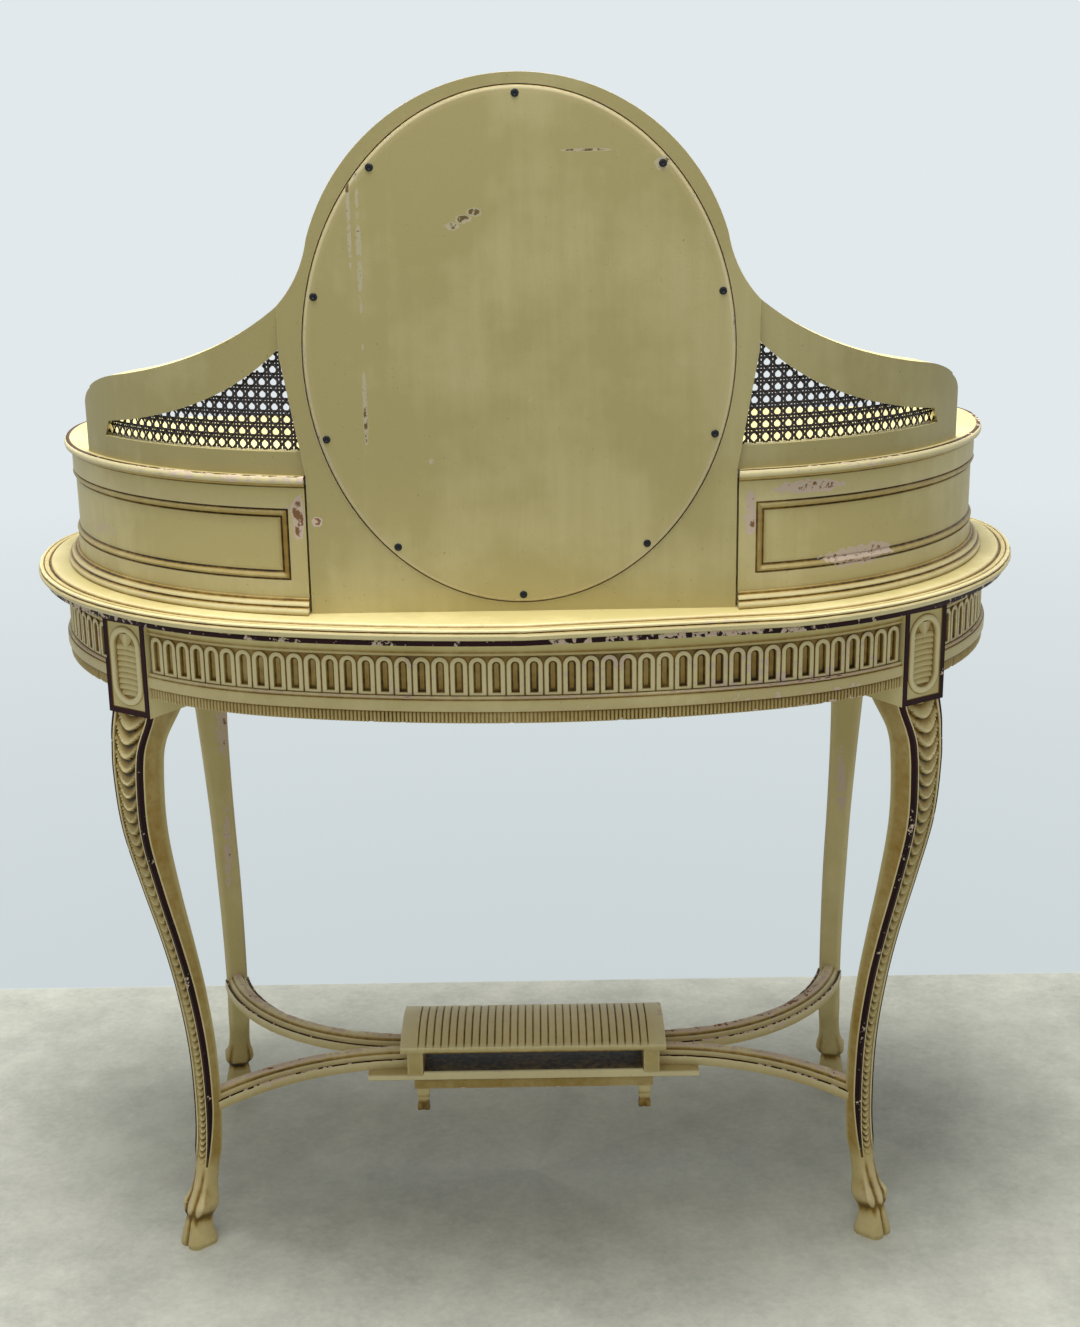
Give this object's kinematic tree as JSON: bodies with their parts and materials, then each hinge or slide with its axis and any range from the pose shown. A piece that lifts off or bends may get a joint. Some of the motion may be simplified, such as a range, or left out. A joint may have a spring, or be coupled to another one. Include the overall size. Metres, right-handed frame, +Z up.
{
  "type": "dressing table",
  "caption": "Free-standing dressing table on curved legs with an oval mirror, caned wings, side cabinets with drawers, a frieze drawer and a slotted footrest between the stretchers.",
  "frame": {"origin": "middle of the bounding box on the floor, under the table top", "axes": "+Z up, the person sits on the -Y side and faces +Y, +X to that person's right"},
  "size_m": [1.0698, 0.6178, 1.23],
  "materials": {
    "cream_paint": "aged cream oil paint on carved wood, dark lining in the recesses",
    "bare_drawer_wood": "unfinished beech, darkened with age",
    "turned_brass": "dull turned brass",
    "silvered_glass": "silvered plate glass",
    "woven_cane": "dark stained woven cane",
    "blackened_screws": "blackened steel"
  },
  "bodies": {
    "table": {"table_top": "cream_paint", "back_apron": "cream_paint", "left_end_apron": "cream_paint", "right_end_apron": "cream_paint", "front_apron_left": "cream_paint", "front_apron_right": "cream_paint", "front_drawer_rail": "cream_paint", "frieze_drawer_runners": "bare_drawer_wood", "leg_back_left": "cream_paint", "leg_back_right": "cream_paint", "leg_front_left": "cream_paint", "leg_front_right": "cream_paint", "stretcher_back_left": "cream_paint", "stretcher_back_right": "cream_paint", "stretcher_front_left": "cream_paint", "stretcher_front_right": "cream_paint", "footrest_top": "cream_paint", "footrest_end_blocks": "cream_paint", "footrest_base_plate": "cream_paint", "footrest_rail": "cream_paint", "footrest_feet": "cream_paint", "left_cabinet_bottom": "cream_paint", "left_cabinet_wall": "cream_paint", "left_cabinet_partition": "cream_paint", "left_cabinet_top": "cream_paint", "left_cabinet_drawer_guide": "bare_drawer_wood", "right_cabinet_bottom": "cream_paint", "right_cabinet_wall": "cream_paint", "right_cabinet_partition": "cream_paint", "right_cabinet_top": "cream_paint", "right_cabinet_drawer_guide": "bare_drawer_wood", "mirror_board": "cream_paint", "mirror_back_panel": "cream_paint", "mirror_screws": "blackened_screws", "mirror_glass": "silvered_glass", "mirror_bead": "cream_paint", "left_wing_frame": "cream_paint", "left_cane_panel": "woven_cane", "right_wing_frame": "cream_paint", "right_cane_panel": "woven_cane"},
    "frieze_drawer": {"frieze_drawer_front": "cream_paint", "frieze_drawer_left_side": "bare_drawer_wood", "frieze_drawer_right_side": "bare_drawer_wood", "frieze_drawer_back": "bare_drawer_wood", "frieze_drawer_bottom": "bare_drawer_wood", "frieze_drawer_knobs": "turned_brass"},
    "left_drawer": {"left_drawer_front": "cream_paint", "left_drawer_inner_side": "bare_drawer_wood", "left_drawer_outer_side": "bare_drawer_wood", "left_drawer_back": "bare_drawer_wood", "left_drawer_bottom": "bare_drawer_wood", "left_drawer_knob": "turned_brass"},
    "right_drawer": {"right_drawer_front": "cream_paint", "right_drawer_inner_side": "bare_drawer_wood", "right_drawer_outer_side": "bare_drawer_wood", "right_drawer_back": "bare_drawer_wood", "right_drawer_bottom": "bare_drawer_wood", "right_drawer_knob": "turned_brass"}
  },
  "joints": [
    {"name": "frieze_drawer_slide", "type": "slide", "parent": "table", "child": "frieze_drawer", "axis": [0, -1, 0], "range_m": [0, 0.22]},
    {"name": "left_drawer_slide", "type": "slide", "parent": "table", "child": "left_drawer", "axis": [0, -1, 0], "range_m": [0, 0.16]},
    {"name": "right_drawer_slide", "type": "slide", "parent": "table", "child": "right_drawer", "axis": [0, -1, 0], "range_m": [0, 0.16]}
  ]
}
